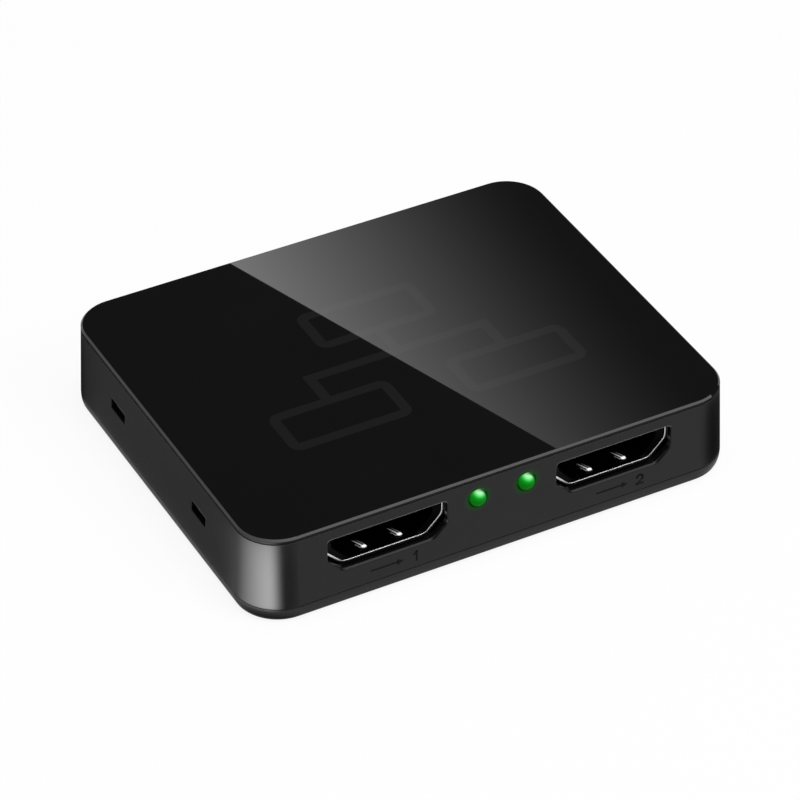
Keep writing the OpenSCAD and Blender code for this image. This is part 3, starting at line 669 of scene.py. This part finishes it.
def dress_nodes(nodes):
    """Gives each solid its finish."""
    finishes = make_finishes()
    for name, node in nodes.items():
        slot = node.material_slots[0].material.name
        if slot == "lamp_green":
            finish = lamp_lens(name)
        elif slot == "socket_plate":
            finish = socket_plate(name)
        else:
            finish = finishes[slot]
        node.material_slots[0].material = finish


# Printed marks


def stroke(points, width):
    """Four-sided pieces of a line of that width, one for each stretch between points."""
    pieces = []
    for a, b in zip(points, points[1:]):
        along = (b - a).normalized() * width / 2
        side = Vector((-along.y, along.x))
        pieces.append([a - side - along, b - side + along, b + side + along, a + side - along])
    return pieces


def number_points(number):
    """Points of a 1 or a 2, from the foot of the number at its left."""
    if number == 1:
        return [Vector(p) for p in ((FLAG_X, FLAG_UP * PRINT_H), (STEM_X, PRINT_H), (STEM_X, 0))]
    r = NUMBER_W / 2
    centre = Vector((r, PRINT_H - r))
    turns = [math.radians(BOW_START - BOW_TURN * along) for along in share_steps(BOW_STEPS)]
    bow = [centre + r * Vector((math.cos(t), math.sin(t))) for t in turns]
    return bow + [Vector((0, 0)), Vector((NUMBER_W, 0))]


def mark_pieces(number):
    """Outlines of the arrow and the number, from the left end of the mark."""
    tail, tip = Vector((0, PRINT_H / 2)), Vector((ARROW_L, PRINT_H / 2))
    neck = tip - Vector((ARROW_HEAD, 0))
    wing = Vector((0, ARROW_HEAD / 2))
    pieces = stroke([tail, neck], PRINT_LINE) + [[neck - wing, tip, neck + wing]]
    start = Vector((ARROW_L + NUMBER_GAP, 0))
    return pieces + stroke([start + p for p in number_points(number)], PRINT_LINE)


def print_marks():
    """Prints the marks on the wall under the outputs, just proud of it."""
    ink = plastic("print_ink", (0.001,) * 3, (0.002,) * 3, (0.5, 0.6), 0.1, 0.1, 0.001)
    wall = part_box("bottom_cover")[0].y
    lean = mm(WALL_LEAN) / (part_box("upper_shell")[1].z - mm(PARTING_Z))
    width = ARROW_L + NUMBER_GAP + NUMBER_W
    for number in (1, 2):
        left = middle(f"output_{number}_shell").x + mm(PRINT_SHIFT - width / 2)
        made = bmesh.new()
        for piece in mark_pieces(number):
            corners = []
            for p in piece:
                z = mm(PRINT_Z + p.y)
                y = wall + lean * (z - mm(PARTING_Z)) - mm(PRINT_LIFT)
                corners.append(made.verts.new((left + mm(p.x), y, z)))
            made.faces.new(corners)
        mesh = bpy.data.meshes.new(f"output_{number}_mark")
        made.to_mesh(mesh)
        made.free()
        mesh.materials.append(ink)
        mark = bpy.data.objects.new(f"output_{number}_mark", mesh)
        bpy.context.scene.collection.objects.link(mark)
        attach(mark, "root")


# Stage


def stage_object(name, points, faces, material):
    mesh = bpy.data.meshes.new(name)
    mesh.from_pydata(points, [], faces)
    made = bpy.data.objects.new(name, mesh)
    bpy.context.scene.collection.objects.link(made)
    mesh.materials.append(material)
    return made


def bare_material(name):
    """A material with nothing but its output."""
    mat = bpy.data.materials.new(name)
    mat.use_nodes = True
    mat.node_tree.nodes.clear()
    return mat, mat.node_tree, add(mat.node_tree, "ShaderNodeOutputMaterial")


def floor_material():
    """White floor: mostly its own white in the picture and in reflections, with the shadow kept."""
    mat, tree, out = bare_material("floor_white")
    path = add(tree, "ShaderNodeLightPath").outputs
    seen = calc(tree, "ADD", path["Is Camera Ray"], path["Is Glossy Ray"])
    shown = calc(tree, "MINIMUM", calc(tree, "ADD", seen, path["Is Transmission Ray"]), 1.0)
    share = calc(tree, "MULTIPLY", shown, FLOOR_GLOW)
    paper = add(tree, "ShaderNodeBsdfDiffuse", {"Color": (0.9, 0.9, 0.9, 1)})
    white = add(tree, "ShaderNodeEmission", {"Color": (1, 1, 1, 1), "Strength": 1.0})
    both = add(tree, "ShaderNodeMixShader", {0: share, 1: paper.outputs[0], 2: white.outputs[0]})
    tree.links.new(both.outputs[0], out.inputs["Surface"])
    return mat


def make_floor():
    """Round floor that curves up into a low wall."""
    profile = [(FLOOR_R - COVE_R, 0.0)]
    for step in range(1, COVE_STEPS + 1):
        a = math.radians(90 * step / COVE_STEPS)
        profile.append((FLOOR_R - COVE_R + COVE_R * math.sin(a), COVE_R * (1 - math.cos(a))))
    profile.append((FLOOR_R, COVE_H))
    points, faces = [], []
    for radius, height in profile:
        for turn in range(FLOOR_SIDES):
            a = 2 * math.pi * turn / FLOOR_SIDES
            points.append(mm(radius * math.cos(a), radius * math.sin(a), height - FLOOR_DROP))
    faces.append(tuple(range(FLOOR_SIDES)))
    for ring in range(len(profile) - 1):
        for turn in range(FLOOR_SIDES):
            a, b = ring * FLOOR_SIDES + turn, ring * FLOOR_SIDES + (turn + 1) % FLOOR_SIDES
            faces.append((a, b, b + FLOOR_SIDES, a + FLOOR_SIDES))
    stage_object("floor", points, faces, floor_material())


def area_light(name, toward, distance, size, radiance):
    """Soft box at that distance from the object, facing it."""
    data = bpy.data.lights.new(name, "AREA")
    data.shape = "RECTANGLE"
    data.size, data.size_y = mm(size[0]), mm(size[1])
    data.energy = 4 * data.size * data.size_y * radiance
    light = bpy.data.objects.new(name, data)
    bpy.context.scene.collection.objects.link(light)
    aim = Vector(toward).normalized()
    turned = aim.to_track_quat("Z", "Y").to_matrix().to_4x4()
    light.matrix_world = Matrix.Translation(aim * mm(distance)) @ turned
    light.visible_camera = False


def make_lights():
    area_light("key_box", *KEY_BOX)
    area_light("top_box", *TOP_BOX)
    world = bpy.data.worlds.new("room")
    world.use_nodes = True
    background = next(n for n in world.node_tree.nodes if n.type == "BACKGROUND")
    background.inputs["Color"].default_value = (1, 1, 1, 1)
    background.inputs["Strength"].default_value = WORLD_LEVEL
    bpy.context.scene.world = world


def card_material():
    """Light of a card, as bright as each of its points says."""
    mat, tree, out = bare_material("card_light")
    level = add(tree, "ShaderNodeAttribute", attribute_name="level").outputs["Fac"]
    glow = add(tree, "ShaderNodeEmission", {"Strength": level})
    tree.links.new(glow.outputs[0], out.inputs["Surface"])
    return mat


def light_card(name, rows, material):
    """Card from rows of (place, brightness) that shows only in reflections."""
    across = len(rows[0])
    faces = []
    for r in range(len(rows) - 1):
        for c in range(across - 1):
            a = r * across + c
            faces.append((a, a + 1, a + across + 1, a + across))
    card = stage_object(name, [place for row in rows for place, _ in row], faces, material)
    levels = card.data.attributes.new("level", "FLOAT", "POINT")
    levels.data.foreach_set("value", [level for row in rows for _, level in row])
    card.visible_camera = False
    card.visible_diffuse = False
    card.visible_shadow = False


def make_glint(eye, material):
    """Card that the top panel mirrors to the camera: sharp on one edge and fading to the right."""
    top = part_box("top_panel")[1].z
    below = Vector((eye.x, eye.y, 2 * top - eye.z))
    slope = (GLINT_FRONT[0] - GLINT_BACK[0]) / (GLINT_FRONT[1] - GLINT_BACK[1])
    back, front = GLINT_BACK[1] + GLINT_PAST, GLINT_FRONT[1] - GLINT_PAST
    rows = []
    for down in share_steps(GLINT_ROWS):
        y = back + (front - back) * down
        start = GLINT_BACK[0] + slope * (y - GLINT_BACK[1])
        end = GLINT_END[0] + (GLINT_END[1] - GLINT_END[0]) * down
        row = []
        for along in share_steps(GLINT_STEPS):
            x = start + (end - start) * along
            fade = (end - x) / (GLINT_END[0] - GLINT_BACK[0])
            on_panel = Vector((mm(x), mm(y), top))
            row.append((2 * on_panel - below, WORLD_LEVEL + GLINT_PEAK * max(fade, 0) ** GLINT_FADE))
        rows.append(row)
    light_card("glint_card", rows, material)


def make_rim_band(eye, material):
    """Band of light at the places that the panel's bevel mirrors to the camera."""
    toward = (eye - mm(0, 0, BEVEL_Z)).normalized()
    rows = []
    for along in share_steps(BAND_STEPS):
        turn = math.radians(BAND_FROM + (BAND_TO - BAND_FROM) * along)
        left = min(max(math.sin(turn), 0), 1) ** 2
        level = BAND_FRONT + (BAND_LEFT - BAND_FRONT) * left
        row = []
        for tilt in (BEVEL_SLOPE - BAND_TILT, BEVEL_SLOPE + BAND_TILT):
            flat, rise = math.cos(math.radians(tilt)), math.sin(math.radians(tilt))
            normal = Vector((-math.sin(turn) * flat, -math.cos(turn) * flat, rise))
            mirrored = 2 * normal.dot(toward) * normal - toward
            row.append((mirrored * mm(BAND_DISTANCE), level))
        rows.append(row)
    light_card("rim_band", rows, material)


def mirrored_card(name, stations, eye, material):
    """Card whose light the case's wall mirrors to the camera at stations along its outline.

    A station has its place at the parting line, the way that the wall faces, and the light on wall and cover.
    """
    lean = WALL_LEAN / (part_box("upper_shell")[1].z * 1000 - PARTING_Z)
    rows = []
    for x, y, facing, on_wall, on_cover in stations:
        row = []
        for height in CARD_HEIGHTS:
            above = max(height - PARTING_Z, 0)
            point = mm(x - facing.x * lean * above, y - facing.y * lean * above, height)
            normal = (facing + Vector((0, 0, lean if above else 0))).normalized()
            toward = (eye - point).normalized()
            ray = 2 * normal.dot(toward) * normal - toward
            row.append((point + ray * ((mm(CARD_Z) - point.z) / ray.z), on_wall if above else on_cover))
        rows.append(row)
    light_card(name, rows, material)


def swell(value, start, top, end, fall=1.0):
    """Smooth rise from 0 at start to 1 at top, and down to 0 at end, sooner for a fall under 1."""
    if value < top:
        share = (top - value) / (top - start)
    else:
        share = ((value - top) / (end - top)) ** fall
    return math.cos(min(share, 1) * math.pi / 2) ** 2


def corner_stations(side, end, turns, light):
    """Stations round a corner, at angles from the front or the back in degrees.

    Side is -1 at the left and 1 at the right, and end is -1 at the front and 1 at the back.
    """
    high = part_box("bottom_cover")[1] * 1000
    stations = []
    for turn in turns:
        a = math.radians(turn)
        facing = Vector((side * math.sin(a), end * math.cos(a), 0))
        x = side * (high.x - CORNER_R) + CORNER_R * facing.x
        y = end * (high.y - CORNER_R) + CORNER_R * facing.y
        stations.append((x, y, facing, *light(turn)))
    return stations


def left_corner_light(turn):
    """Light on the wall and on the cover at an angle from the front."""
    wall = DIP_LIGHT + (1 - DIP_LIGHT) * swell(turn, -1, 0, DIP_TO)
    wall += SWELL_LIGHT * swell(turn, SWELL_FROM, SWELL_TOP, SWELL_TO, SWELL_FALL)
    return wall, COVER_LIGHT * min(1, (COVER_TO - turn) / (COVER_TO - COVER_FROM))


def right_corner_light(turn):
    """Light on the wall and on the cover at an angle from the front."""
    wall = RIGHT_LIGHT + (1 - RIGHT_LIGHT) * math.exp(-(turn / RIGHT_FADE) ** 2)
    cover = min(1, COVER_LIGHT - turn / RIGHT_COVER_FADE)
    return wall, max(RIGHT_COVER_LIGHT, cover)


def back_corner_light(turn):
    """Light on the wall and on the cover at an angle from the back."""
    _, on_wall, on_cover = LEFT_WALL[0]
    fade = math.exp((turn - 90) / BACK_FADE)
    return on_wall * fade, on_cover * fade


def make_floor_cards(eye, material):
    """Cards just above the floor: a dim one along the left wall, and shaped ones round the corners."""
    low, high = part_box("bottom_cover")
    z = mm(CARD_Z / 2)
    across = (low.x - mm(CARD_REACH), low.x - mm(CARD_GAP))
    along = (low.y + mm(CORNER_R), high.y + mm(CARD_REACH))
    light_card("left_card", [[(Vector((x, y, z)), LEFT_CARD) for x in across] for y in along], material)
    left = [(low.x * 1000, y, Vector((-1, 0, 0)), on_wall, on_cover) for y, on_wall, on_cover in LEFT_WALL]
    behind = corner_stations(-1, 1, BACK_TURNS, back_corner_light)
    before = corner_stations(-1, -1, LEFT_TURNS, left_corner_light)
    mirrored_card("left_corner_card", behind + left + before, eye, material)
    right = corner_stations(1, -1, RIGHT_TURNS, right_corner_light)
    mirrored_card("right_corner_card", right, eye, material)


def make_camera():
    """Camera of the photograph. Returns where it stands."""
    a, e, r = (math.radians(v) for v in (CAMERA_AZIMUTH, CAMERA_ELEVATION, CAMERA_ROLL))
    back = Vector((math.sin(a) * math.cos(e), -math.cos(a) * math.cos(e), math.sin(e)))
    level = Vector((0, 0, 1)).cross(back).normalized()
    rise = back.cross(level)
    right = math.cos(r) * level + math.sin(r) * rise
    up = math.cos(r) * rise - math.sin(r) * level
    eye = mm(*CAMERA_TARGET) + back * mm(CAMERA_DISTANCE)
    data = bpy.data.cameras.new("camera")
    data.sensor_width, data.lens = SENSOR, LENS
    data.clip_start, data.clip_end = mm(*CAMERA_CLIP)
    camera = bpy.data.objects.new("camera", data)
    bpy.context.scene.collection.objects.link(camera)
    camera.matrix_world = Matrix((
        (right.x, up.x, back.x, eye.x), (right.y, up.y, back.y, eye.y),
        (right.z, up.z, back.z, eye.z), (0, 0, 0, 1),
    ))
    bpy.context.scene.camera = camera
    return eye


bpy.context.scene.view_settings.view_transform = "Standard"
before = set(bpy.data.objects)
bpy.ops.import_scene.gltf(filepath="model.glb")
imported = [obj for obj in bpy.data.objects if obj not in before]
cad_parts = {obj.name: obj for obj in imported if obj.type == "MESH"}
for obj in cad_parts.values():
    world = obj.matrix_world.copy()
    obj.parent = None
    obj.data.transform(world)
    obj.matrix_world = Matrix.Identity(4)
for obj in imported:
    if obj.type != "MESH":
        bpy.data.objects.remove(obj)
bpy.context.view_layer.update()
eye = make_camera()
dress_nodes(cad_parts)
print_marks()
make_floor()
make_lights()
card_light = card_material()
make_glint(eye, card_light)
make_rim_band(eye, card_light)
make_floor_cards(eye, card_light)
